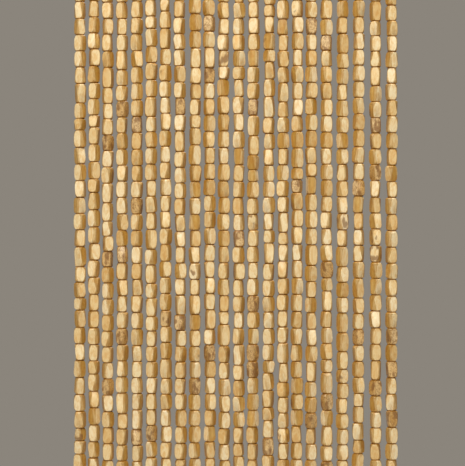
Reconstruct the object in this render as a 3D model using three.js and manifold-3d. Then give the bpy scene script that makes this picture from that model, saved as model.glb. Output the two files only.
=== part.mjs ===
// A bead curtain: strands of hand-cut wooden beads hang side by side from a slim wooden heading strip.
// Each cord makes two strands. It rises from the foot of one, crosses in a groove along the heading's top,
// and goes down the next, so its own bend over the heading carries the pair.
// Millimetres, +Z up, front towards -Y. The origin is the middle of the heading's top edge.
import * as THREE from "three";
import { mergeVertices } from "three/addons/utils/BufferGeometryUtils.js";
import Module from "manifold-3d";

const wasm = await Module();
wasm.setup();

// Clearance between pieces that touch in use.
const GAP = 0.3;

// The heading strip: a planed slat with its long edges eased, and a groove along its top for the cords.
const HEADING = { length: 328, depth: 14, height: 22, easing: 1.2 };
const GROOVE = { length: 306, width: 3.2, depth: 3.4 };

// The cord, square here, the holes it passes through, and the height of its run in the groove.
const CORD = 1.6;
const HOLE = CORD + 2 * GAP;
const RUN_HEIGHT = -GROOVE.depth + GAP + CORD / 2;

// The beads: squared barrels of about 8.5 x 8.5 x 15 mm, cut by hand, so no two are quite alike.
const BEAD = {
  length: 14.6, // the shortest of the usual ones
  lengthSpread: 1.0,
  longShare: 0.07, // the share that are cut long, and by how much
  longBy: 3.4,
  shortShare: 0.045, // the share that are cut short, and by how much
  shortBy: 3.6,
  row: 15.6, // from one row of beads to the next, which is a usual bead and its joint
  evening: 0.25, // the share of a strand's lead over its row that the next bead makes good
  reach: 5.7, // from the cord to a corner, on the thinnest
  reachSpread: 0.6,
  shoulder: 1.6, // the height over which an end is rounded
  between: 0.35, // the dark joint between two beads
  waist: 0.72, // the share of a bead's reach that is left at the joint
  leastTurn: 6, // degrees
  turnSpread: 32,
  contraryShare: 0.18, // the share that are turned the other way
  sideStep: 0.8, // how far beads sit off the cord's line, from one side to the other
};

// A strand starts with a little bare cord, gets beads until it is about long enough, and ends in a knot.
const STRAND = { bareCord: 2, bareCordSpread: 3, length: 466 };
const KNOT = { height: 3.6, reach: 2.7 };
const TAIL = 7; // cord left below the knot

// One row for each strand, left to right: where its hole is along the heading, how far to the right of the
// hole its foot hangs, and the way most of its beads are turned, 1 with a flat facing left and -1 right.
const STRANDS = [
  { hole: -148.5, drift: -0.4, turn: 1 },
  { hole: -135.1, drift: -0.4, turn: 1 },
  { hole: -122.3, drift: 0.1, turn: 1 },
  { hole: -108.5, drift: 0.4, turn: 1 },
  { hole: -94.4, drift: 0.5, turn: 1 },
  { hole: -80.8, drift: 0.5, turn: 1 },
  { hole: -67.3, drift: 0.8, turn: 1 },
  { hole: -53.7, drift: 1.5, turn: 1 },
  { hole: -38.6, drift: -0.7, turn: -1 },
  { hole: -25.5, drift: 1.2, turn: -1 },
  { hole: -11.8, drift: 0.9, turn: -1 },
  { hole: 3.0, drift: -0.2, turn: 1 },
  { hole: 17.2, drift: -1.2, turn: 1 },
  { hole: 32.2, drift: -1.3, turn: 1 },
  { hole: 45.1, drift: 0.1, turn: 1 },
  { hole: 59.2, drift: -1.4, turn: -1 },
  { hole: 72.3, drift: -0.5, turn: -1 },
  { hole: 86.6, drift: 0.1, turn: -1 },
  { hole: 101.9, drift: -0.3, turn: -1 },
  { hole: 117.4, drift: -0.4, turn: -1 },
  { hole: 133.4, drift: 0.1, turn: -1 },
  { hole: 148.8, drift: -0.1, turn: -1 },
];

// A number from 0 to 1 that is always the same for one trait of one bead.
const SCATTER = { strand: 12.9898, bead: 78.233, trait: 37.719, gain: 43758.5453 };
const TRAIT = { length: 1, cut: 2, reach: 3, turn: 4, contrary: 5, sideways: 6, depth: 7, drop: 8 };
function scatter(strand, bead, trait) {
  const angle = strand * SCATTER.strand + bead * SCATTER.bead + trait * SCATTER.trait;
  const wave = Math.sin(angle) * SCATTER.gain;
  return wave - Math.floor(wave);
}

// The length of one bead: most are much alike, and a few are cut long or short.
function beadLength(strand, bead) {
  const usual = BEAD.length + BEAD.lengthSpread * scatter(strand, bead, TRAIT.length);
  const cut = scatter(strand, bead, TRAIT.cut);
  if (cut < BEAD.longShare) {
    return usual + BEAD.longBy;
  }
  return cut > 1 - BEAD.shortShare ? usual - BEAD.shortBy : usual;
}

// The beads of one strand, from the heading down, each with its place, reach and turn about the cord. They
// are picked so that the strands keep roughly in rows: a long bead is followed by shorter ones.
function beadsOf(strand) {
  const { hole, drift, turn } = STRANDS[strand];
  const beads = [];
  const start = -HEADING.height - STRAND.bareCord - STRAND.bareCordSpread * scatter(strand, 0, TRAIT.drop);
  let top = start;
  for (let bead = 0; ; bead++) {
    const lead = start - top - bead * BEAD.row;
    const length = beadLength(strand, bead) - BEAD.evening * lead;
    // The strand ends where one more bead would take it further past its length than it is short of it.
    if (start - top + length / 2 > STRAND.length) {
      return beads;
    }
    const pick = (trait) => scatter(strand, bead, trait);
    const way = pick(TRAIT.contrary) < BEAD.contraryShare ? -turn : turn;
    const degrees = BEAD.leastTurn + BEAD.turnSpread * pick(TRAIT.turn);
    const hangs = hole + (drift * (start - top)) / STRAND.length;
    beads.push({
      x: hangs + BEAD.sideStep * (pick(TRAIT.sideways) - 0.5),
      y: BEAD.sideStep * (pick(TRAIT.depth) - 0.5),
      top,
      foot: top - length,
      reach: BEAD.reach + BEAD.reachSpread * pick(TRAIT.reach),
      turn: THREE.MathUtils.degToRad(-way * degrees),
    });
    top -= length + BEAD.between;
  }
}

// A column of four-sided rings from the foot up: each ring has a place, a reach to its corners and a turn.
const SIDES = 4;
function columnGeometry(rings) {
  const positions = [];
  const faces = [];
  const quarter = Math.PI / 2;
  let turned = rings[0].turn;
  for (const { x, y, z, reach, turn } of rings) {
    // A square looks the same every quarter turn, so each ring takes the one nearest to the ring below.
    turned = turn + quarter * Math.round((turned - turn) / quarter);
    for (let side = 0; side < SIDES; side++) {
      const angle = turned + quarter * (side + 0.5);
      positions.push(x + reach * Math.cos(angle), y + reach * Math.sin(angle), z);
    }
  }
  for (let ring = 0; ring + 1 < rings.length; ring++) {
    for (let side = 0; side < SIDES; side++) {
      const here = ring * SIDES + side;
      const next = ring * SIDES + ((side + 1) % SIDES);
      faces.push(here, next, next + SIDES, here, next + SIDES, here + SIDES);
    }
  }
  const last = (rings.length - 1) * SIDES;
  faces.push(0, 2, 1, 0, 3, 2, last, last + 1, last + 2, last, last + 2, last + 3);
  const geometry = new THREE.BufferGeometry();
  geometry.setAttribute("position", new THREE.Float32BufferAttribute(positions, 3));
  return geometry.setIndex(faces);
}

// One hanging strand, from the cord's tail up to where it enters the run over the heading.
function strandGeometry(strand) {
  const { hole, drift } = STRANDS[strand];
  const cordReach = CORD / Math.SQRT2;
  const beads = beadsOf(strand);
  const rings = [];
  const lowest = beads[beads.length - 1].foot;
  const knotFoot = lowest - KNOT.height;
  const footX = hole + drift;
  rings.push({ x: footX, y: 0, z: knotFoot - TAIL, reach: cordReach, turn: 0 });
  rings.push({ x: footX, y: 0, z: knotFoot, reach: cordReach, turn: 0 });
  rings.push({ x: footX, y: 0, z: lowest - KNOT.height / 2, reach: KNOT.reach, turn: 0 });
  rings.push({ x: footX, y: 0, z: lowest, reach: cordReach, turn: 0 });
  for (let bead = beads.length - 1; bead >= 0; bead--) {
    const { x, y, top, foot, reach, turn } = beads[bead];
    rings.push({ x, y, z: foot + BEAD.shoulder, reach, turn });
    rings.push({ x, y, z: top - BEAD.shoulder, reach, turn });
    if (bead > 0) {
      const above = beads[bead - 1];
      rings.push({
        x: (x + above.x) / 2,
        y: (y + above.y) / 2,
        z: top + BEAD.between / 2,
        reach: (BEAD.waist * (reach + above.reach)) / 2,
        turn: above.turn,
      });
    }
  }
  rings.push({ x: hole, y: 0, z: beads[0].top, reach: cordReach, turn: 0 });
  rings.push({ x: hole, y: 0, z: RUN_HEIGHT, reach: cordReach, turn: 0 });
  return columnGeometry(rings);
}

function solidOf(geometry) {
  const bare = geometry.clone();
  bare.deleteAttribute("normal");
  bare.deleteAttribute("uv");
  const merged = mergeVertices(bare);
  const mesh = new wasm.Mesh({
    numProp: 3,
    vertProperties: merged.attributes.position.array,
    triVerts: new Uint32Array(merged.index.array),
  });
  return new wasm.Manifold(mesh);
}

function geometryOf(solid) {
  const { vertProperties, triVerts } = solid.getMesh();
  const geometry = new THREE.BufferGeometry();
  geometry.setAttribute("position", new THREE.BufferAttribute(vertProperties, 3));
  geometry.setIndex(new THREE.BufferAttribute(triVerts, 1));
  geometry.computeVertexNormals();
  return geometry;
}

function boxSolid(width, depth, height, x, y, z) {
  return solidOf(new THREE.BoxGeometry(width, depth, height).translate(x, y, z));
}

// Two strands on one cord, their roots fused into its run over the heading.
function strandPair(first) {
  const left = STRANDS[first].hole;
  const right = STRANDS[first + 1].hole;
  const run = boxSolid(right - left + CORD, CORD, CORD, (left + right) / 2, 0, RUN_HEIGHT);
  const pair = solidOf(strandGeometry(first)).add(solidOf(strandGeometry(first + 1))).add(run);
  const mesh = new THREE.Mesh(geometryOf(pair), beadWood);
  mesh.name = "strand_pair_" + String(first / 2 + 1).padStart(2, "0");
  return mesh;
}

// The heading strip, with its groove and one hole for each strand.
function headingStrip() {
  const { length, depth, height, easing } = HEADING;
  const side = depth / 2;
  const section = new THREE.Shape();
  section.moveTo(-side + easing, -height);
  section.lineTo(side - easing, -height);
  section.lineTo(side, -height + easing);
  section.lineTo(side, -easing);
  section.lineTo(side - easing, 0);
  section.lineTo(-side + easing, 0);
  section.lineTo(-side, -easing);
  section.lineTo(-side, -height + easing);
  section.closePath();
  // The extrusion runs along Z, and is turned so that it runs along X with the section's height along Z.
  const slat = new THREE.ExtrudeGeometry(section, { depth: length, bevelEnabled: false, steps: 1 });
  slat.rotateX(Math.PI / 2).rotateZ(Math.PI / 2).translate(-length / 2, 0, 0);
  let solid = solidOf(slat);
  // Each cutter stands this far out of the wood, so that it leaves no skin.
  const proud = 1;
  const cut = GROOVE.depth + proud;
  solid = solid.subtract(boxSolid(GROOVE.length, GROOVE.width, cut, 0, 0, cut / 2 - GROOVE.depth));
  for (const { hole } of STRANDS) {
    solid = solid.subtract(boxSolid(HOLE, HOLE, height + 2 * proud, hole, 0, -height / 2));
  }
  const mesh = new THREE.Mesh(geometryOf(solid), headingWood);
  mesh.name = "heading_strip";
  return mesh;
}

const beadWood = new THREE.MeshStandardMaterial({ color: 0xd9b273, roughness: 0.5, metalness: 0 });
const headingWood = new THREE.MeshStandardMaterial({ color: 0xcba567, roughness: 0.6, metalness: 0 });

const curtain = new THREE.Group();
curtain.add(headingStrip());
for (let first = 0; first < STRANDS.length; first += 2) {
  curtain.add(strandPair(first));
}

export default curtain;
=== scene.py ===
import math

import bpy
from mathutils import Matrix, Vector


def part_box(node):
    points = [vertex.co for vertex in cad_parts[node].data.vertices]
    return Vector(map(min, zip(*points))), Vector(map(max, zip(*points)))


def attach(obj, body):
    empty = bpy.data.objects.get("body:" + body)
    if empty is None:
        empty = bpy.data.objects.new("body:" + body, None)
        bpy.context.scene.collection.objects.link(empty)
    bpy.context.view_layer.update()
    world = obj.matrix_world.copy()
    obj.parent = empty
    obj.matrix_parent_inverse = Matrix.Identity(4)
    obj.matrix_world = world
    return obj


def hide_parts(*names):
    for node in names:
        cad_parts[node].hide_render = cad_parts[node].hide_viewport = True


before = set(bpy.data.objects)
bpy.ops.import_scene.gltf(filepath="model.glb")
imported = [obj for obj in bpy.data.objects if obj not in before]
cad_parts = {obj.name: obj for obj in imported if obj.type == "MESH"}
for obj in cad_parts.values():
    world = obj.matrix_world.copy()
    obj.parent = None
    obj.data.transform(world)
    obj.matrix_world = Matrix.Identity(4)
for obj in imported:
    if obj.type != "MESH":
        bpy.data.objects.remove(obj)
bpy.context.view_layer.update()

# Heading strip
# A planed slat of pale hardwood with its long edges eased. It has one drilled hole for each strand, opened
# out below, and a milled groove along its top, where the cords cross from one hole to the next.
# Sizes are in metres. The long edges are eased, and the edges round the ends only broken.
EASING = {"width": 0.0012, "steps": 4}
BROKEN_EDGE = {"width": 0.0004, "steps": 2}
# The groove's ends are rounded by this share of its width, so that they are all but half circles.
GROOVE = {"length": 0.306, "width": 0.0032, "depth": 0.0034, "rounding": 0.49, "steps": 6}
HOLE = {"radius": 0.0011, "sides": 20}
COUNTERSINK = {"radius": 0.0019, "depth": 0.0008}
# How far a cutter stands out of the wood that it cuts.
PROUD = 0.001
# Faces that meet at less than this many degrees are shaded as one smooth surface.
SMOOTH_BELOW = 32.0
# A face is square to a direction when this much of its normal points there.
SQUARE = 0.9
# Two places nearer to each other than this are the same.
SAME = 1e-6

# One row for each strand, left to right: where its hole is along the heading, how far to the right of the
# hole its foot hangs, and the way most of its beads are turned, 1 with a flat facing left and -1 right.
STRANDS = [
    {"hole": -0.1485, "drift": -0.0004, "turn": 1},
    {"hole": -0.1351, "drift": -0.0004, "turn": 1},
    {"hole": -0.1223, "drift": 0.0001, "turn": 1},
    {"hole": -0.1085, "drift": 0.0004, "turn": 1},
    {"hole": -0.0944, "drift": 0.0005, "turn": 1},
    {"hole": -0.0808, "drift": 0.0005, "turn": 1},
    {"hole": -0.0673, "drift": 0.0008, "turn": 1},
    {"hole": -0.0537, "drift": 0.0015, "turn": 1},
    {"hole": -0.0386, "drift": -0.0007, "turn": -1},
    {"hole": -0.0255, "drift": 0.0012, "turn": -1},
    {"hole": -0.0118, "drift": 0.0009, "turn": -1},
    {"hole": 0.0030, "drift": -0.0002, "turn": 1},
    {"hole": 0.0172, "drift": -0.0012, "turn": 1},
    {"hole": 0.0322, "drift": -0.0013, "turn": 1},
    {"hole": 0.0451, "drift": 0.0001, "turn": 1},
    {"hole": 0.0592, "drift": -0.0014, "turn": -1},
    {"hole": 0.0723, "drift": -0.0005, "turn": -1},
    {"hole": 0.0866, "drift": 0.0001, "turn": -1},
    {"hole": 0.1019, "drift": -0.0003, "turn": -1},
    {"hole": 0.1174, "drift": -0.0004, "turn": -1},
    {"hole": 0.1334, "drift": 0.0001, "turn": -1},
    {"hole": 0.1488, "drift": -0.0001, "turn": -1},
]


def pick_only(piece):
    """Makes a piece the only one that is selected, and the active one."""
    bpy.ops.object.select_all(action="DESELECT")
    piece.select_set(True)
    bpy.context.view_layer.objects.active = piece


def settle(piece):
    """Puts a piece's place into its mesh, so that the object itself sits at the origin."""
    pick_only(piece)
    bpy.ops.object.transform_apply(location=True, rotation=True, scale=True)


def finish_with(piece, kind, **settings):
    """Adds a modifier with its settings, and applies it."""
    pick_only(piece)
    modifier = piece.modifiers.new(kind.lower(), kind)
    for name, value in settings.items():
        setattr(modifier, name, value)
    bpy.ops.object.modifier_apply(modifier=modifier.name)


def join(pieces, name):
    """Makes several meshes one, under that name."""
    pick_only(pieces[0])
    for piece in pieces:
        piece.select_set(True)
    bpy.ops.object.join()
    joined = bpy.context.view_layer.objects.active
    joined.name = name
    joined.data.name = name
    return joined


def paint(hex_code):
    """A colour as it looks on a screen, such as D9B273, in the linear numbers that a shader takes."""
    shown = [int(hex_code[place : place + 2], 16) / 255.0 for place in (0, 2, 4)]
    return (*(c / 12.92 if c <= 0.04045 else ((c + 0.055) / 1.055) ** 2.4 for c in shown), 1.0)


# A mix of two colours has its sockets by number: how much, the colour below, the one above, and the result.
AMOUNT, BELOW, ABOVE, MIXED = 0, 6, 7, 2


def add(material, kind, settings=None, links=None):
    """Adds a node with its links and its settings, which are inputs, options or a ramp's stops."""
    node = material.node_tree.nodes.new(kind)
    for name, value in (settings or {}).items():
        if name == "stops":
            ramp = node.color_ramp.elements
            for _ in value[2:]:
                ramp.new(1.0)
            for element, (place, colour) in zip(ramp, value):
                element.position = place
                element.color = paint(colour)
        elif isinstance(name, int) or name in node.inputs:
            node.inputs[name].default_value = value
        else:
            setattr(node, name, value)
    for name, socket in (links or {}).items():
        material.node_tree.links.new(socket, node.inputs[name])
    return node


def bare_material(name):
    """A material with only its surface shader and its output."""
    material = bpy.data.materials.new(name)
    material.use_nodes = True
    material.node_tree.nodes.clear()
    surface = add(material, "ShaderNodeBsdfPrincipled")
    add(material, "ShaderNodeOutputMaterial", links={"Surface": surface.outputs["BSDF"]})
    return material, surface


def planed_hardwood():
    """Planed pale hardwood: yearly rings about 2.5 mm apart round a heart below the slat, and open pores."""
    material, surface = bare_material("planed_pale_hardwood")
    link = material.node_tree.links.new
    place = add(material, "ShaderNodeTexCoord").outputs["Object"]
    heart = add(
        material,
        "ShaderNodeMapping",
        {"Location": (0.0, 0.016, 0.034), "Scale": (0.05, 1.0, 1.0)},
        {"Vector": place},
    )
    # A wave of rings repeats every 0.314 of its own units, so this scale puts rings 2.5 mm apart.
    rings = add(
        material,
        "ShaderNodeTexWave",
        {
            "wave_type": "RINGS",
            "rings_direction": "X",
            "Scale": 125.0,
            "Distortion": 3.2,
            "Detail": 2.0,
            "Detail Scale": 0.9,
            "Detail Roughness": 0.5,
        },
        {"Vector": heart.outputs["Vector"]},
    )
    rings_wood = add(
        material,
        "ShaderNodeValToRGB",
        {"stops": [(0.0, "D8B377"), (0.6, "CFA667"), (1.0, "B98B4B")]},
        {"Fac": rings.outputs["Fac"]},
    )
    # Pores are drawn 0.3 mm wide and 8 mm long, coarser than they are, so that they show.
    grain = add(material, "ShaderNodeMapping", {"Scale": (120.0, 3300.0, 3300.0)}, {"Vector": place})
    pores = add(
        material,
        "ShaderNodeTexNoise",
        {"Scale": 1.0, "Detail": 2.0, "Roughness": 0.6},
        {"Vector": grain.outputs["Vector"]},
    )
    pore_wood = add(
        material,
        "ShaderNodeValToRGB",
        {"stops": [(0.32, "9A6E38"), (0.5, "FFFFFF")]},
        {"Fac": pores.outputs["Fac"]},
    )
    colour = add(
        material,
        "ShaderNodeMix",
        {"data_type": "RGBA", "blend_type": "MULTIPLY", AMOUNT: 0.45},
        {BELOW: rings_wood.outputs["Color"], ABOVE: pore_wood.outputs["Color"]},
    )
    polish = add(
        material,
        "ShaderNodeMapRange",
        {"To Min": 0.55, "To Max": 0.4},
        {"Value": pores.outputs["Fac"]},
    )
    relief = add(
        material,
        "ShaderNodeBump",
        {"Strength": 0.3, "Distance": 0.0002},
        {"Height": pores.outputs["Fac"]},
    )
    link(colour.outputs[MIXED], surface.inputs["Base Color"])
    link(polish.outputs["Result"], surface.inputs["Roughness"])
    link(relief.outputs["Normal"], surface.inputs["Normal"])
    return material


def select_edges(piece, wanted):
    """Selects the edges, in edit mode, for which wanted(one end, the other) holds."""
    bpy.ops.mesh.select_mode(type="EDGE")
    bpy.ops.mesh.select_all(action="DESELECT")
    bpy.ops.object.mode_set(mode="OBJECT")
    vertices = piece.data.vertices
    for edge in piece.data.edges:
        edge.select = wanted(*(vertices[end].co for end in edge.vertices))
    bpy.ops.object.mode_set(mode="EDIT")


def select_faces(piece, wanted):
    """Selects the faces, in edit mode, for which wanted(centre, normal) holds."""
    bpy.ops.mesh.select_mode(type="FACE")
    bpy.ops.mesh.select_all(action="DESELECT")
    bpy.ops.object.mode_set(mode="OBJECT")
    for face in piece.data.polygons:
        face.select = wanted(face.center, face.normal)
    bpy.ops.object.mode_set(mode="EDIT")


slat_low, slat_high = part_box("heading_strip")
slat_size = slat_high - slat_low
bpy.ops.object.select_all(action="DESELECT")
bpy.ops.mesh.primitive_cube_add(size=1.0, location=(slat_low + slat_high) / 2.0)
heading = bpy.context.object
heading.name = "heading"
heading.scale = slat_size
settle(heading)
bpy.ops.object.mode_set(mode="EDIT")
select_edges(heading, lambda a, b: abs(a.x - b.x) > slat_size.x / 2.0)
bpy.ops.mesh.bevel(offset=EASING["width"], segments=EASING["steps"])
select_edges(heading, lambda a, b: abs(a.x - b.x) < SAME and abs(a.x) > slat_size.x / 2.0 - SAME)
bpy.ops.mesh.bevel(offset=BROKEN_EDGE["width"], segments=BROKEN_EDGE["steps"])
bpy.ops.object.mode_set(mode="OBJECT")

bpy.ops.object.select_all(action="DESELECT")
bpy.ops.mesh.primitive_cube_add(size=1.0, location=(0.0, 0.0, (PROUD - GROOVE["depth"]) / 2.0))
groove = bpy.context.object
groove.scale = (GROOVE["length"], GROOVE["width"], GROOVE["depth"] + PROUD)
settle(groove)
bpy.ops.object.mode_set(mode="EDIT")
select_edges(groove, lambda a, b: abs(a.z - b.z) > GROOVE["depth"] / 2.0)
bpy.ops.mesh.bevel(offset=GROOVE["rounding"] * GROOVE["width"], segments=GROOVE["steps"])
bpy.ops.object.mode_set(mode="OBJECT")
finish_with(heading, "BOOLEAN", operation="DIFFERENCE", object=groove, solver="EXACT")
bpy.data.objects.remove(groove)

drill_foot = slat_low.z + COUNTERSINK["depth"]
drills = []
for strand in STRANDS:
    bpy.ops.object.select_all(action="DESELECT")
    bpy.ops.mesh.primitive_cylinder_add(
        vertices=HOLE["sides"],
        radius=HOLE["radius"],
        depth=-GROOVE["depth"] / 2.0 - drill_foot,
        location=(strand["hole"], 0.0, (drill_foot - GROOVE["depth"] / 2.0) / 2.0),
    )
    drill = bpy.context.object
    settle(drill)
    bpy.ops.object.mode_set(mode="EDIT")
    select_faces(drill, lambda centre, normal: normal.z < -SQUARE)
    opening = COUNTERSINK["radius"] / HOLE["radius"]
    centre = (strand["hole"], 0.0, slat_low.z)
    bpy.ops.mesh.extrude_region_move(TRANSFORM_OT_translate={"value": (0.0, 0.0, -COUNTERSINK["depth"])})
    bpy.ops.transform.resize(value=(opening, opening, 1.0), center_override=centre)
    bpy.ops.mesh.extrude_region_move(TRANSFORM_OT_translate={"value": (0.0, 0.0, -PROUD)})
    bpy.ops.object.mode_set(mode="OBJECT")
    drills.append(drill)
drilling = join(drills, "drilling")
finish_with(heading, "BOOLEAN", operation="DIFFERENCE", object=drilling, solver="EXACT")
bpy.data.objects.remove(drilling)
pick_only(heading)
bpy.ops.object.shade_smooth_by_angle(angle=math.radians(SMOOTH_BELOW))
heading.data.materials.append(planed_hardwood())
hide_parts("heading_strip")
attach(heading, "root")


# Beads
# Squared barrels of pale hardwood: four broad flats that were cut by hand, so they lean and twist a little,
# eased corners of which some are cut deeper, and rounded ends. They are drilled end to end and polished, and
# threaded on the cords with the grain upright, where they rest on each other.
BARREL = {"sides": 8, "length": 0.0150, "drum": 0.0030, "belly": 0.0063}
# From the drum in the middle out to the end: how far a ring is from the bead's end, and its radius.
RINGS = [
    {"from_end": 0.0034, "radius": 0.00609},
    {"from_end": 0.0019, "radius": 0.00562},
    {"from_end": 0.0008, "radius": 0.00500},
    {"from_end": 0.0, "radius": 0.00410},
]
# How deep a cut lies, measured from the cord, and the degrees over which its twist and its lean vary. Of the
# corners, only a share is cut.
FLATS = {"depth": 0.00432, "depth_spread": 0.00040, "twist": 15.0, "lean": 12.0}
CORNERS = {"share": 0.25, "depth": 0.00505, "depth_spread": 0.00045, "twist": 16.0, "lean": 18.0}
# Cuts that cross close together leave slivers, so points nearer than this are merged.
SLIVER = 0.00015
# The flats that face front and back are pale. The sides are painted darker, as painted shade standing in for
# light that falls from the front, and the corners between them get nearly as much painted shade as the
# sides. The limits are degrees round from the front or back.
PALE_WITHIN = 24.0
SHADED_BEYOND = 66.0
CORNER_SHADE = 0.8
# Every bead is a copy of one of so many shapes. The last few of these are drilled, for the highest and the
# lowest bead of each strand, whose ends show.
SHAPES = 14
DRILLED = {"shapes": 3, "radius": 0.0012, "depth": 0.0030}

# Hand work is uneven, so each measure is scattered by a wave so steep that its numbers seem to be chance.
SCATTER = {"strand": 12.9898, "bead": 78.233, "trait": 37.719, "gain": 43758.5453}
# The numbers by which the traits of a cut are told apart.
CUT = {"twist": 11, "lean": 12, "depth": 13, "corner": 14}


def scatter(strand, bead, trait):
    """A number from 0 to 1 that is always the same for one trait of one bead."""
    angle = strand * SCATTER["strand"] + bead * SCATTER["bead"] + trait * SCATTER["trait"]
    wave = math.sin(angle) * SCATTER["gain"]
    return wave - math.floor(wave)


def slice_off(bead, around, lean, depth):
    """Cuts one flat: its direction about the bead, its lean from upright, both in degrees, and its depth."""
    around, lean = math.radians(around), math.radians(lean)
    outward = Vector((math.cos(around) * math.cos(lean), math.sin(around) * math.cos(lean), math.sin(lean)))
    bpy.ops.mesh.select_all(action="SELECT")
    bpy.ops.mesh.bisect(plane_co=outward * depth, plane_no=outward, use_fill=True, clear_outer=True)


def cut_bead(shape, drilled):
    """Turns a barrel along Z, cuts its flats and perhaps some corners, and drills it if its end shows."""
    half = BARREL["length"] / 2.0
    bpy.ops.object.select_all(action="DESELECT")
    bpy.ops.mesh.primitive_cylinder_add(
        vertices=BARREL["sides"],
        radius=BARREL["belly"],
        depth=BARREL["drum"],
        rotation=(0.0, 0.0, math.pi / BARREL["sides"]),
    )
    bead = bpy.context.object
    settle(bead)
    bead.name = f"bead_shape_{shape:02d}"
    bpy.ops.object.mode_set(mode="EDIT")
    for way in (1.0, -1.0):
        height, radius = BARREL["drum"] / 2.0, BARREL["belly"]
        for ring in RINGS:
            select_faces(bead, lambda centre, normal: way * normal.z > SQUARE)
            step = (0.0, 0.0, way * (half - ring["from_end"] - height))
            narrowing = ring["radius"] / radius
            bpy.ops.mesh.extrude_region_move(TRANSFORM_OT_translate={"value": step})
            bpy.ops.transform.resize(value=(narrowing, narrowing, 1.0), center_override=(0.0, 0.0, 0.0))
            height, radius = half - ring["from_end"], ring["radius"]
    # The flats are numbered 0 to 3 and the corners 4 to 7.
    for side in range(4):
        slice_off(
            bead,
            90.0 * side + FLATS["twist"] * (scatter(shape, side, CUT["twist"]) - 0.5),
            FLATS["lean"] * (scatter(shape, side, CUT["lean"]) - 0.5),
            FLATS["depth"] + FLATS["depth_spread"] * scatter(shape, side, CUT["depth"]),
        )
    for corner in range(4, 8):
        if scatter(shape, corner, CUT["corner"]) < CORNERS["share"]:
            slice_off(
                bead,
                90.0 * corner + 45.0 + CORNERS["twist"] * (scatter(shape, corner, CUT["twist"]) - 0.5),
                CORNERS["lean"] * (scatter(shape, corner, CUT["lean"]) - 0.5),
                CORNERS["depth"] + CORNERS["depth_spread"] * scatter(shape, corner, CUT["depth"]),
            )
    bpy.ops.mesh.select_all(action="SELECT")
    bpy.ops.mesh.remove_doubles(threshold=SLIVER)
    if drilled:
        for way in (1.0, -1.0):
            select_faces(bead, lambda centre, normal: way * normal.z > SQUARE)
            narrowing = DRILLED["radius"] / RINGS[-1]["radius"]
            bpy.ops.mesh.extrude_region_move(TRANSFORM_OT_translate={"value": (0.0, 0.0, 0.0)})
            bpy.ops.transform.resize(value=(narrowing, narrowing, 1.0), center_override=(0.0, 0.0, 0.0))
            inward = (0.0, 0.0, -way * DRILLED["depth"])
            bpy.ops.mesh.extrude_region_move(TRANSFORM_OT_translate={"value": inward})
    bpy.ops.mesh.select_all(action="SELECT")
    bpy.ops.mesh.normals_make_consistent(inside=False)
    bpy.ops.object.mode_set(mode="OBJECT")
    bpy.ops.object.shade_smooth()
    # Painted shade: faces turned to the sides are marked 1, and the corners nearly as much, so that the
    # sides are coloured as if shaded and the front and back flats as if lit.
    shade_mask = bead.data.attributes.new("bead_deep", "FLOAT", "FACE")
    for face in bead.data.polygons:
        round_from_front = math.degrees(math.atan2(abs(face.normal.x), abs(face.normal.y)))
        if round_from_front > SHADED_BEYOND:
            shade_mask.data[face.index].value = 1.0
        elif round_from_front > PALE_WITHIN:
            shade_mask.data[face.index].value = CORNER_SHADE
    return bead


WHOLE = SHAPES - DRILLED["shapes"]
shapes = [cut_bead(shape, shape >= WHOLE) for shape in range(SHAPES)]


def flats_and_sides(material, place, tone):
    """A bead's colour with light and shade painted in: pale front and back flats, sides painted darker as
    shade, and corners with a painted highlight.
    """
    shade_mask = add(material, "ShaderNodeAttribute", {"attribute_name": "bead_deep"}).outputs["Fac"]
    pale = add(
        material,
        "ShaderNodeValToRGB",
        {"stops": [(0.0, "F8E6BC"), (0.4, "F2DCAA"), (0.75, "EACE96"), (1.0, "DFBC7C")]},
        {"Fac": tone},
    )
    side = add(
        material,
        "ShaderNodeValToRGB",
        {"stops": [(0.0, "DDB86E"), (0.5, "D0A455"), (1.0, "C09240")]},
        {"Fac": tone},
    )
    # The sides carry painted shade, darkest beside the pale flats.
    across = add(material, "ShaderNodeSeparateXYZ", links={"Vector": place})
    depth = add(material, "ShaderNodeMath", {"operation": "ABSOLUTE"}, {0: across.outputs["Y"]})
    shade_beside_flats = add(
        material,
        "ShaderNodeMapRange",
        {"From Min": 0.0, "From Max": 0.0034, "To Min": 0.2, "To Max": 0.85},
        {"Value": depth.outputs["Value"]},
    )
    # Painted shade: the side colour is mixed towards a dark ochre nearer the pale flats.
    shaded_side = add(
        material,
        "ShaderNodeMix",
        {"data_type": "RGBA", ABOVE: paint("AE8436")},
        {AMOUNT: shade_beside_flats.outputs["Result"], BELOW: side.outputs["Color"]},
    )
    # Painted shade: the shade mask puts the darker side colour on the sides and corners.
    body = add(
        material,
        "ShaderNodeMix",
        {"data_type": "RGBA"},
        {AMOUNT: shade_mask, BELOW: pale.outputs["Color"], ABOVE: shaded_side.outputs[MIXED]},
    )
    # The corners are what lies furthest from the cord, and there a painted highlight makes the colour paler.
    round_cord = add(
        material,
        "ShaderNodeVectorMath",
        {"operation": "MULTIPLY", 1: (1.0, 1.0, 0.0)},
        {0: place},
    )
    from_cord = add(
        material,
        "ShaderNodeVectorMath",
        {"operation": "LENGTH"},
        {0: round_cord.outputs["Vector"]},
    )
    painted_highlight = add(
        material,
        "ShaderNodeMapRange",
        {"From Min": 0.0050, "From Max": 0.0057, "To Min": 0.0, "To Max": 0.25},
        {"Value": from_cord.outputs["Value"]},
    )
    # Painted highlight: a pale cream along the corners.
    highlighted_body = add(
        material,
        "ShaderNodeMix",
        {"data_type": "RGBA", ABOVE: paint("F6E1B0")},
        {AMOUNT: painted_highlight.outputs["Result"], BELOW: body.outputs[MIXED]},
    )
    return highlighted_body.outputs[MIXED]


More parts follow.
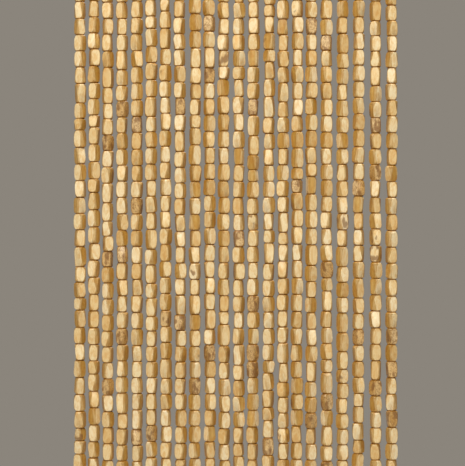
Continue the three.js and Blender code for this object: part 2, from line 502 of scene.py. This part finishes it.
def grain_and_fibres(material, wood, colour):
    """Grain lines and fibres over a colour. Gives the colour, and both patterns for polish and relief."""
    # Grain lines are 1.5 mm apart and 12 mm long.
    along = add(material, "ShaderNodeMapping", {"Scale": (650.0, 650.0, 80.0)}, {"Vector": wood})
    grain = add(
        material,
        "ShaderNodeTexNoise",
        {"Scale": 1.0, "Detail": 4.0, "Roughness": 0.6, "Distortion": 0.8},
        {"Vector": along.outputs["Vector"]},
    )
    veins = add(
        material,
        "ShaderNodeValToRGB",
        {"stops": [(0.3, "D2A45F"), (0.55, "FFFFFF")]},
        {"Fac": grain.outputs["Fac"]},
    )
    veined = add(
        material,
        "ShaderNodeMix",
        {"data_type": "RGBA", "blend_type": "MULTIPLY", AMOUNT: 0.14},
        {BELOW: colour, ABOVE: veins.outputs["Color"]},
    )
    # Fibres are drawn 0.3 mm apart, coarser than they are, so that they show.
    finer = add(material, "ShaderNodeMapping", {"Scale": (3200.0, 3200.0, 260.0)}, {"Vector": wood})
    fibres = add(
        material,
        "ShaderNodeTexNoise",
        {"Scale": 1.0, "Detail": 2.0, "Roughness": 0.6},
        {"Vector": finer.outputs["Vector"]},
    )
    fibre_wood = add(
        material,
        "ShaderNodeValToRGB",
        {"stops": [(0.35, "B98950"), (0.6, "FFFFFF")]},
        {"Fac": fibres.outputs["Fac"]},
    )
    fibred = add(
        material,
        "ShaderNodeMix",
        {"data_type": "RGBA", "blend_type": "MULTIPLY", AMOUNT: 0.14},
        {BELOW: veined.outputs[MIXED], ABOVE: fibre_wood.outputs["Color"]},
    )
    return fibred.outputs[MIXED], grain.outputs["Fac"], fibres.outputs["Fac"]


def blotches(material, wood, knotty, colour):
    """Blotches 2 to 4 mm across: faint on most beads, and brown and speckled on one bead in twenty."""
    broad = add(material, "ShaderNodeMapping", {"Scale": (300.0, 300.0, 170.0)}, {"Vector": wood})
    patches = add(
        material,
        "ShaderNodeTexNoise",
        {"Scale": 1.0, "Detail": 3.0, "Roughness": 0.55, "Distortion": 0.8},
        {"Vector": broad.outputs["Vector"]},
    )
    cloudy = add(
        material,
        "ShaderNodeValToRGB",
        {"stops": [(0.35, "EBCB92"), (0.6, "FFFFFF")]},
        {"Fac": patches.outputs["Fac"]},
    )
    clouded = add(
        material,
        "ShaderNodeMix",
        {"data_type": "RGBA", "blend_type": "MULTIPLY", AMOUNT: 0.6},
        {BELOW: colour, ABOVE: cloudy.outputs["Color"]},
    )
    poorer_bead = add(
        material,
        "ShaderNodeMapRange",
        {"From Min": 0.945, "From Max": 0.95, "To Min": 0.0, "To Max": 0.75},
        {"Value": knotty},
    )
    poorer_part = add(
        material,
        "ShaderNodeMapRange",
        {"From Min": 0.4, "From Max": 0.56, "To Min": 0.3, "To Max": 1.0},
        {"Value": patches.outputs["Fac"]},
    )
    browner = add(
        material,
        "ShaderNodeMath",
        {"operation": "MULTIPLY"},
        {0: poorer_bead.outputs["Result"], 1: poorer_part.outputs["Result"]},
    ).outputs["Value"]
    browned = add(
        material,
        "ShaderNodeMix",
        {"data_type": "RGBA", ABOVE: paint("C69F62")},
        {AMOUNT: browner, BELOW: clouded.outputs[MIXED]},
    )
    # Speckles are a little over 1 mm across.
    speckle = add(
        material,
        "ShaderNodeTexNoise",
        {"Scale": 800.0, "Detail": 2.0, "Roughness": 0.6},
        {"Vector": wood},
    )
    speckle_wood = add(
        material,
        "ShaderNodeValToRGB",
        {"stops": [(0.38, "A98052"), (0.55, "FFFFFF")]},
        {"Fac": speckle.outputs["Fac"]},
    )
    speckled = add(
        material,
        "ShaderNodeMix",
        {"data_type": "RGBA", "blend_type": "MULTIPLY"},
        {AMOUNT: browner, BELOW: browned.outputs[MIXED], ABOVE: speckle_wood.outputs["Color"]},
    )
    return speckled.outputs[MIXED]


def knots(material, wood, fibres, knotty, colour):
    """On some of the poorer beads, a knot 3 or 4 mm wide and 5 or 6 mm long, which the fibres fray."""
    round_knots = add(material, "ShaderNodeMapping", {"Scale": (190.0, 190.0, 115.0)}, {"Vector": wood})
    knot_places = add(
        material,
        "ShaderNodeTexNoise",
        {"Scale": 1.0, "Detail": 1.0, "Roughness": 0.5},
        {"Vector": round_knots.outputs["Vector"]},
    )
    streaks = add(
        material,
        "ShaderNodeMath",
        {"operation": "MULTIPLY_ADD", 1: 0.3, 2: -0.15},
        {0: fibres},
    )
    streaky = add(
        material,
        "ShaderNodeMath",
        {"operation": "ADD"},
        {0: knot_places.outputs["Fac"], 1: streaks.outputs["Value"]},
    )
    # A knot shows where the pattern rises above a mark, and on a clear bead it is lowered too far for that.
    poorer = add(
        material,
        "ShaderNodeMapRange",
        {"From Min": 0.89, "From Max": 0.94, "To Min": -0.35, "To Max": 0.04},
        {"Value": knotty},
    )
    reached = add(
        material,
        "ShaderNodeMath",
        {"operation": "ADD"},
        {0: streaky.outputs["Value"], 1: poorer.outputs["Result"]},
    )
    knot = add(
        material,
        "ShaderNodeMapRange",
        {"From Min": 0.56, "From Max": 0.66, "To Min": 0.0, "To Max": 0.75},
        {"Value": reached.outputs["Value"]},
    )
    knotted = add(
        material,
        "ShaderNodeMix",
        {"data_type": "RGBA", ABOVE: paint("7E5429")},
        {AMOUNT: knot.outputs["Result"], BELOW: colour},
    )
    return knotted.outputs[MIXED]


def stained_and_shaded_ends(material, place, colour):
    """The sawn ends and the drilled hole are brown, where polish has soaked into the end grain, and are
    painted darker still as the shade in the joints between the beads.
    """
    along = add(material, "ShaderNodeSeparateXYZ", links={"Vector": place})
    height = add(material, "ShaderNodeMath", {"operation": "ABSOLUTE"}, {0: along.outputs["Z"]})
    ends = add(
        material,
        "ShaderNodeMapRange",
        {"From Min": 0.0066, "From Max": 0.0073, "To Min": 0.0, "To Max": 0.95},
        {"Value": height.outputs["Value"]},
    )
    # Brown end grain mixed with painted shade for the joints.
    browned = add(
        material,
        "ShaderNodeMix",
        {"data_type": "RGBA", ABOVE: paint("9C6400")},
        {AMOUNT: ends.outputs["Result"], BELOW: colour},
    )
    return browned.outputs[MIXED]


def cut_hardwood():
    """Polished pale hardwood: pale front and back flats, sides darker with painted shade, corners with a
    painted highlight, and some knots and blotches.
    """
    material, surface = bare_material("hand_cut_pale_hardwood")
    link = material.node_tree.links.new
    # A place is measured from the middle of the bead, with its front and back flats along Y. Tone, from pale
    # to deep, and knotty, from clear to poor, are numbers from 0 to 1 that each bead has one of.
    place = add(material, "ShaderNodeAttribute", {"attribute_name": "bead_place"}).outputs["Vector"]
    tone = add(material, "ShaderNodeAttribute", {"attribute_name": "bead_tone"}).outputs["Fac"]
    knotty = add(material, "ShaderNodeAttribute", {"attribute_name": "bead_knotty"}).outputs["Fac"]
    # Each bead is cut from another place in the log, up to a metre away.
    log = add(material, "ShaderNodeCombineXYZ", links={"X": tone, "Y": knotty, "Z": tone})
    wood = add(
        material,
        "ShaderNodeVectorMath",
        {"operation": "MULTIPLY_ADD", 1: (0.7, 0.9, 0.5)},
        {0: log.outputs["Vector"], 2: place},
    ).outputs["Vector"]
    colour = flats_and_sides(material, place, tone)
    colour, grain, fibres = grain_and_fibres(material, wood, colour)
    colour = blotches(material, wood, knotty, colour)
    colour = knots(material, wood, fibres, knotty, colour)
    colour = stained_and_shaded_ends(material, place, colour)
    polish = add(
        material,
        "ShaderNodeMapRange",
        {"To Min": 0.5, "To Max": 0.36},
        {"Value": grain},
    )
    relief = add(
        material,
        "ShaderNodeBump",
        {"Strength": 0.3, "Distance": 0.0002},
        {"Height": fibres},
    )
    link(colour, surface.inputs["Base Color"])
    link(polish.outputs["Result"], surface.inputs["Roughness"])
    link(relief.outputs["Normal"], surface.inputs["Normal"])
    return material


bead_wood = cut_hardwood()

# How long beads are, how far their corners reach from the cord, and how they sit on it, with turns in
# degrees. A strand that runs ahead of even rows, or behind them, is evened out: each bead makes up for a
# share of the lead.
BEAD = {
    "length": 0.0146,
    "length_spread": 0.0010,
    "long_share": 0.07,
    "long_by": 0.0034,
    "short_share": 0.045,
    "short_by": 0.0036,
    "row": 0.0156,
    "evening": 0.25,
    "reach": 0.0057,
    "reach_spread": 0.0006,
    "between": 0.00035,
    "least_turn": 6.0,
    "turn_spread": 32.0,
    "contrary_share": 0.18,
    "side_step": 0.0008,
}
MIDDLING_REACH = BEAD["reach"] + BEAD["reach_spread"] / 2.0
# How much bare cord shows under the heading, and how long a strand's row of beads is.
STRAND = {"bare_cord": 0.002, "bare_cord_spread": 0.003, "length": 0.466}
# The numbers by which the traits of a bead's size and place, and those of its looks, are told apart.
TRAIT = {"length": 1, "cut": 2, "reach": 3, "turn": 4, "contrary": 5, "sideways": 6, "depth": 7, "drop": 8}
LOOK = {"shape": 21, "face": 22, "end": 23, "tone": 24, "knotty": 25, "crossed": 26}
# The share of beads whose sides, darkened with painted shade, face front and back.
CROSSED_SHARE = 0.04
# Beads rest on each other, so their ends fill most of the joint.
PRESSED = 0.00027


def bead_length(strand, bead):
    """Most beads are much alike, and a few are cut long or short."""
    usual = BEAD["length"] + BEAD["length_spread"] * scatter(strand, bead, TRAIT["length"])
    cut = scatter(strand, bead, TRAIT["cut"])
    if cut < BEAD["long_share"]:
        return usual + BEAD["long_by"]
    return usual - BEAD["short_by"] if cut > 1.0 - BEAD["short_share"] else usual


def beads_of(strand):
    """The beads of one strand, from the heading down, each with its place, reach and turn about the cord."""
    row = STRANDS[strand]
    beads = []
    bare = STRAND["bare_cord"] + STRAND["bare_cord_spread"] * scatter(strand, 0, TRAIT["drop"])
    start = slat_low.z - bare
    top = start
    while True:
        bead = len(beads)
        lead = start - top - bead * BEAD["row"]
        length = bead_length(strand, bead) - BEAD["evening"] * lead
        if start - top + length / 2.0 > STRAND["length"]:
            return beads
        contrary = scatter(strand, bead, TRAIT["contrary"]) < BEAD["contrary_share"]
        way = -row["turn"] if contrary else row["turn"]
        degrees = BEAD["least_turn"] + BEAD["turn_spread"] * scatter(strand, bead, TRAIT["turn"])
        hangs = row["hole"] + row["drift"] * (start - top) / STRAND["length"]
        beads.append(
            {
                "x": hangs + BEAD["side_step"] * (scatter(strand, bead, TRAIT["sideways"]) - 0.5),
                "y": BEAD["side_step"] * (scatter(strand, bead, TRAIT["depth"]) - 0.5),
                "top": top,
                "foot": top - length,
                "reach": BEAD["reach"] + BEAD["reach_spread"] * scatter(strand, bead, TRAIT["reach"]),
                "turn": math.radians(-way * degrees),
            }
        )
        top -= length + BEAD["between"]


def thread_bead(strand, number, bead, end_shows):
    """One bead in its place: a copy of a shape, with its own size, turn and wood."""

    def look(name):
        return scatter(strand, number, LOOK[name])

    drilled = WHOLE + int(look("shape") * DRILLED["shapes"])
    chosen = drilled if end_shows else int(look("shape") * WHOLE)
    copy = shapes[chosen].copy()
    copy.data = copy.data.copy()
    bpy.context.collection.objects.link(copy)
    mesh = copy.data
    places = mesh.attributes.new("bead_place", "FLOAT_VECTOR", "POINT")
    places.data.foreach_set("vector", [c for vertex in mesh.vertices for c in vertex.co])
    for name, value in (("bead_tone", look("tone")), ("bead_knotty", look("knotty"))):
        attribute = mesh.attributes.new(name, "FLOAT", "POINT")
        attribute.data.foreach_set("value", [value] * len(mesh.vertices))
    wide = bead["reach"] / MIDDLING_REACH
    tall = (bead["top"] - bead["foot"] + PRESSED) / BARREL["length"]
    crossed = 1 if look("crossed") < CROSSED_SHARE else 0
    quarters = 2 * int(2.0 * look("face")) + crossed
    facing = bead["turn"] + math.radians(90.0 * quarters)
    flip = Matrix.Rotation(math.pi if look("end") < 0.5 else 0.0, 4, "X")
    at = Matrix.Translation((bead["x"], bead["y"], (bead["top"] + bead["foot"]) / 2.0))
    mesh.transform(at @ Matrix.Rotation(facing, 4, "Z") @ Matrix.Diagonal((wide, wide, tall, 1.0)) @ flip)
    return copy


PAIRS = len(STRANDS) // 2
strand_beads = [beads_of(strand) for strand in range(len(STRANDS))]
for pair in range(PAIRS):
    copies = []
    for strand in (2 * pair, 2 * pair + 1):
        last = len(strand_beads[strand]) - 1
        for number, bead in enumerate(strand_beads[strand]):
            copies.append(thread_bead(strand, number, bead, number in (0, last)))
    beads = join(copies, f"beads_{pair + 1:02d}")
    beads.data.materials.append(bead_wood)
    finish_with(beads, "WEIGHTED_NORMAL")
    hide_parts(f"strand_pair_{pair + 1:02d}")
    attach(beads, "root")
for shape in shapes:
    bpy.data.objects.remove(shape)


# Cords
# Three-ply twisted cotton cord, dyed brown. Each cord makes two strands: from the knot below one it runs up
# through the beads and the heading's hole, across in the groove, and down the next hole. An overhand knot
# under each lowest bead holds the strand.
# The lay is how far the cord goes in one turn of its twist, and the step how far from one ring of faces to
# the next.
CORD = {"radius": 0.0008, "ply": 0.00043, "plies": 3, "sides": 6, "lay": 0.0050, "step": 0.0006}
# How far the cord lies above the groove's floor, and where its middle then is.
CLEARANCE = 0.0003
RUN_HEIGHT = -GROOVE["depth"] + CLEARANCE + CORD["radius"]
# The quarter bend from a hole into the groove.
BEND = {"radius": 0.0016, "steps": 6}
# How far the run over the heading, and the knot below, start inside a bead.
INTO_BEAD = 0.0020
# The knot is a trefoil that is opened where the cord goes in and comes out. A loop is the unit of its size,
# the spread is how many loops it reaches to the front and to the back, and the opening is in radians.
KNOT = {"height": 0.0036, "loop": 0.00062, "spread": 1.2, "opening": 0.28, "steps": 40}
# The cord's way into the knot, in loops aside and up and in spreads to the front. Its way out is the same to
# the back and down.
INTO_KNOT = [
    {"aside": 0.945, "ahead": 0.6, "up": 2.6},
    {"aside": 2.16, "ahead": 1.1, "up": 1.2},
    {"aside": 2.565, "ahead": 1.1, "up": 0.0},
]
# The tail hangs from this many loops below the knot's middle, and its end lies a little aside.
TAIL = {"length": 0.007, "starts": 5.0, "aside": 0.0002}
# How far inside the lowest bead the cord turns into the knot.
IN_MOUTH = 0.0004
# Between the beads the cord is drawn thin and plain, since only the joints show it.
THREAD = {"radius": 0.0007, "sides": 8}
# The trait by which each knot is turned about its cord.
KNOT_TURN = 31


def twisted_cord(route, name):
    """Three plies round each other, bent along a route."""
    length = sum((there - here).length for here, there in zip(route, route[1:]))
    plies = []
    for ply in range(CORD["plies"]):
        around = 2.0 * math.pi * ply / CORD["plies"]
        off = CORD["radius"] - CORD["ply"]
        bpy.ops.object.select_all(action="DESELECT")
        bpy.ops.mesh.primitive_circle_add(
            vertices=CORD["sides"],
            radius=CORD["ply"],
            location=(off * math.cos(around), off * math.sin(around), 0.0),
        )
        settle(bpy.context.object)
        plies.append(bpy.context.object)
    cord = join(plies, name)
    steps = round(length / CORD["step"])
    finish_with(
        cord,
        "SCREW",
        axis="Z",
        angle=2.0 * math.pi * length / CORD["lay"],
        screw_offset=length,
        steps=steps,
        render_steps=steps,
        use_smooth_shade=True,
    )
    bpy.ops.object.mode_set(mode="EDIT")
    bpy.ops.mesh.select_all(action="SELECT")
    bpy.ops.mesh.fill_holes(sides=0)
    bpy.ops.mesh.select_all(action="SELECT")
    bpy.ops.mesh.normals_make_consistent(inside=False)
    bpy.ops.object.mode_set(mode="OBJECT")
    path = bpy.data.curves.new(f"{name}_route", "CURVE")
    path.dimensions = "3D"
    spline = path.splines.new("POLY")
    spline.points.add(len(route) - 1)
    for point, place in zip(spline.points, route):
        point.co = (*place, 1.0)
    guide = bpy.data.objects.new(path.name, path)
    bpy.context.collection.objects.link(guide)
    finish_with(cord, "CURVE", object=guide, deform_axis="POS_Z")
    bpy.data.objects.remove(guide)
    return cord


def over_heading(left, right):
    """From inside the left strand's first bead, up its hole, along the groove and down the right hole."""
    ends = [strand_beads[strand][0]["top"] - INTO_BEAD for strand in (left, right)]
    holes = [STRANDS[strand]["hole"] for strand in (left, right)]
    straight_top = RUN_HEIGHT - BEND["radius"]
    rise = [Vector((holes[0], 0.0, ends[0])), Vector((holes[0], 0.0, straight_top))]
    bend = []
    for step in range(1, BEND["steps"] + 1):
        angle = math.radians(90.0 * step / BEND["steps"])
        across = BEND["radius"] * (1.0 - math.cos(angle))
        bend.append((across, straight_top + BEND["radius"] * math.sin(angle)))
    first = [Vector((holes[0] + across, 0.0, height)) for across, height in bend]
    second = [Vector((holes[1] - across, 0.0, height)) for across, height in reversed(bend)]
    fall = [Vector((holes[1], 0.0, straight_top)), Vector((holes[1], 0.0, ends[1]))]
    return rise + first + second + fall


def overhand_route():
    """From inside the lowest bead, whose foot is at 0, through an overhand knot, to the tail's end."""
    loop = KNOT["loop"]
    ahead = loop * KNOT["spread"]
    middle = -KNOT["height"] / 2.0 - CORD["radius"]
    turns = []
    for step in range(KNOT["steps"] + 1):
        t = KNOT["opening"] + 2.0 * (math.pi - KNOT["opening"]) * step / KNOT["steps"]
        reach = loop * (2.0 + math.cos(3.0 * t))
        across, up = reach * math.cos(2.0 * t), -reach * math.sin(2.0 * t)
        turns.append(Vector((across, -ahead * math.sin(3.0 * t), middle + up)))
    entry = [Vector((0.0, 0.0, INTO_BEAD)), Vector((0.0, 0.0, IN_MOUTH))]
    for place in INTO_KNOT:
        entry.append(Vector((loop * place["aside"], -ahead * place["ahead"], middle + loop * place["up"])))
    leaving = []
    for place in reversed(INTO_KNOT):
        leaving.append(Vector((loop * place["aside"], ahead * place["ahead"], middle - loop * place["up"])))
    leaving.append(Vector((0.0, 0.0, middle - loop * TAIL["starts"])))
    leaving.append(Vector((TAIL["aside"], 0.0, -KNOT["height"] - TAIL["length"])))
    return entry + turns + leaving


def dyed_cord():
    """Dyed cotton cord: matt brown, mottled by its fibres every 0.2 mm and faded in patches of 4 mm."""
    material, surface = bare_material("dyed_twisted_cotton")
    link = material.node_tree.links.new
    place = add(material, "ShaderNodeTexCoord").outputs["Object"]
    # Cotton fibres, too, are drawn coarser than they are.
    fibres = add(
        material,
        "ShaderNodeTexNoise",
        {"Scale": 5200.0, "Detail": 2.0, "Roughness": 0.6},
        {"Vector": place},
    )
    patches = add(
        material,
        "ShaderNodeTexNoise",
        {"Scale": 260.0, "Detail": 2.0, "Roughness": 0.5},
        {"Vector": place},
    )
    yarn = add(
        material,
        "ShaderNodeValToRGB",
        {"stops": [(0.3, "5E3E1E"), (0.55, "7E5830"), (0.75, "9A7446")]},
        {"Fac": fibres.outputs["Fac"]},
    )
    faded = add(
        material,
        "ShaderNodeValToRGB",
        {"stops": [(0.35, "C9B49C"), (0.65, "FFFFFF")]},
        {"Fac": patches.outputs["Fac"]},
    )
    colour = add(
        material,
        "ShaderNodeMix",
        {"data_type": "RGBA", "blend_type": "MULTIPLY", AMOUNT: 0.5},
        {BELOW: yarn.outputs["Color"], ABOVE: faded.outputs["Color"]},
    )
    relief = add(
        material,
        "ShaderNodeBump",
        {"Strength": 0.5, "Distance": 0.0001},
        {"Height": fibres.outputs["Fac"]},
    )
    link(colour.outputs[MIXED], surface.inputs["Base Color"])
    link(relief.outputs["Normal"], surface.inputs["Normal"])
    surface.inputs["Roughness"].default_value = 0.9
    surface.inputs["Sheen Weight"].default_value = 0.3
    surface.inputs["Sheen Roughness"].default_value = 0.5
    return material


cord_yarn = dyed_cord()
knot_and_tail = twisted_cord(overhand_route(), "knot_and_tail")
for pair in range(PAIRS):
    strands = (2 * pair, 2 * pair + 1)
    parts = [twisted_cord(over_heading(*strands), "cord_run")]
    for strand in strands:
        row = STRANDS[strand]
        beads = strand_beads[strand]
        foot_x = row["hole"] + row["drift"]
        top = Vector((row["hole"], 0.0, beads[0]["top"] - INTO_BEAD / 2.0))
        foot = Vector((foot_x, 0.0, beads[-1]["foot"] + INTO_BEAD / 2.0))
        bpy.ops.object.select_all(action="DESELECT")
        bpy.ops.mesh.primitive_cylinder_add(
            vertices=THREAD["sides"],
            radius=THREAD["radius"],
            depth=(top - foot).length,
            location=(top + foot) / 2.0,
            rotation=(top - foot).to_track_quat("Z", "Y").to_euler(),
        )
        thread = bpy.context.object
        settle(thread)
        parts.append(thread)
        knot = knot_and_tail.copy()
        knot.data = knot.data.copy()
        bpy.context.collection.objects.link(knot)
        turned = Matrix.Rotation(2.0 * math.pi * scatter(strand, 0, KNOT_TURN), 4, "Z")
        knot.data.transform(Matrix.Translation((foot_x, 0.0, beads[-1]["foot"])) @ turned)
        parts.append(knot)
    cord = join(parts, f"cord_{pair + 1:02d}")
    cord.data.materials.append(cord_yarn)
    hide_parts(f"strand_pair_{pair + 1:02d}")
    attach(cord, "root")
bpy.data.objects.remove(knot_and_tail)


# Floor, light and camera
# A plain pale floor well below the curtain, a plain grey room, a soft light high in front, a broader one
# right above, and a weaker one behind. The camera has a long lens and stands level in front of the strands,
# so that the heading and the knots lie outside its picture.
FLOOR = {"height": -1.0, "radius": 2.2, "sides": 96}
LIGHTS = [
    {"name": "front_light", "place": (-0.25, -1.5, 1.3), "size": 0.8, "watts": 41.0},
    {"name": "top_light", "place": (0.1, -0.3, 2.2), "size": 1.2, "watts": 34.0},
    {"name": "back_light", "place": (0.5, 1.3, 1.4), "size": 1.0, "watts": 26.0},
]
# How much of the curtain's height the picture takes in, and where its middle is.
VIEW_HEIGHT = 0.445
VIEW_CENTRE = Vector((-0.0031, 0.0, -0.262))
# In millimetres, as lenses are.
LENS = 100.0
SENSOR = 36.0

bpy.ops.object.select_all(action="DESELECT")
bpy.ops.mesh.primitive_circle_add(
    vertices=FLOOR["sides"],
    radius=FLOOR["radius"],
    fill_type="NGON",
    location=(0.0, 0.0, FLOOR["height"]),
)
floor = bpy.context.object
floor.name = "floor"
floor_paint, floor_surface = bare_material("matt_pale_paint")
floor_surface.inputs["Base Color"].default_value = paint("D6D4D0")
floor_surface.inputs["Roughness"].default_value = 0.8
floor.data.materials.append(floor_paint)

room = bpy.data.worlds.new("grey_room")
room.use_nodes = True
room.node_tree.nodes["Background"].inputs["Color"].default_value = paint("8B857C")
bpy.context.scene.world = room
bpy.context.scene.view_settings.view_transform = "Standard"

# Each light is a soft square that faces the middle of the picture.
for lamp in LIGHTS:
    bpy.ops.object.select_all(action="DESELECT")
    aim = (VIEW_CENTRE - Vector(lamp["place"])).to_track_quat("-Z", "Y")
    bpy.ops.object.light_add(type="AREA", location=lamp["place"], rotation=aim.to_euler())
    light = bpy.context.object
    light.name = lamp["name"]
    light.data.size = lamp["size"]
    light.data.energy = lamp["watts"]

bpy.ops.object.select_all(action="DESELECT")
bpy.ops.object.camera_add(
    location=VIEW_CENTRE - Vector((0.0, VIEW_HEIGHT * LENS / SENSOR, 0.0)),
    rotation=(math.radians(90.0), 0.0, 0.0),
)
camera = bpy.context.object
camera.name = "camera"
camera.data.lens = LENS
camera.data.sensor_width = SENSOR
bpy.context.scene.camera = camera
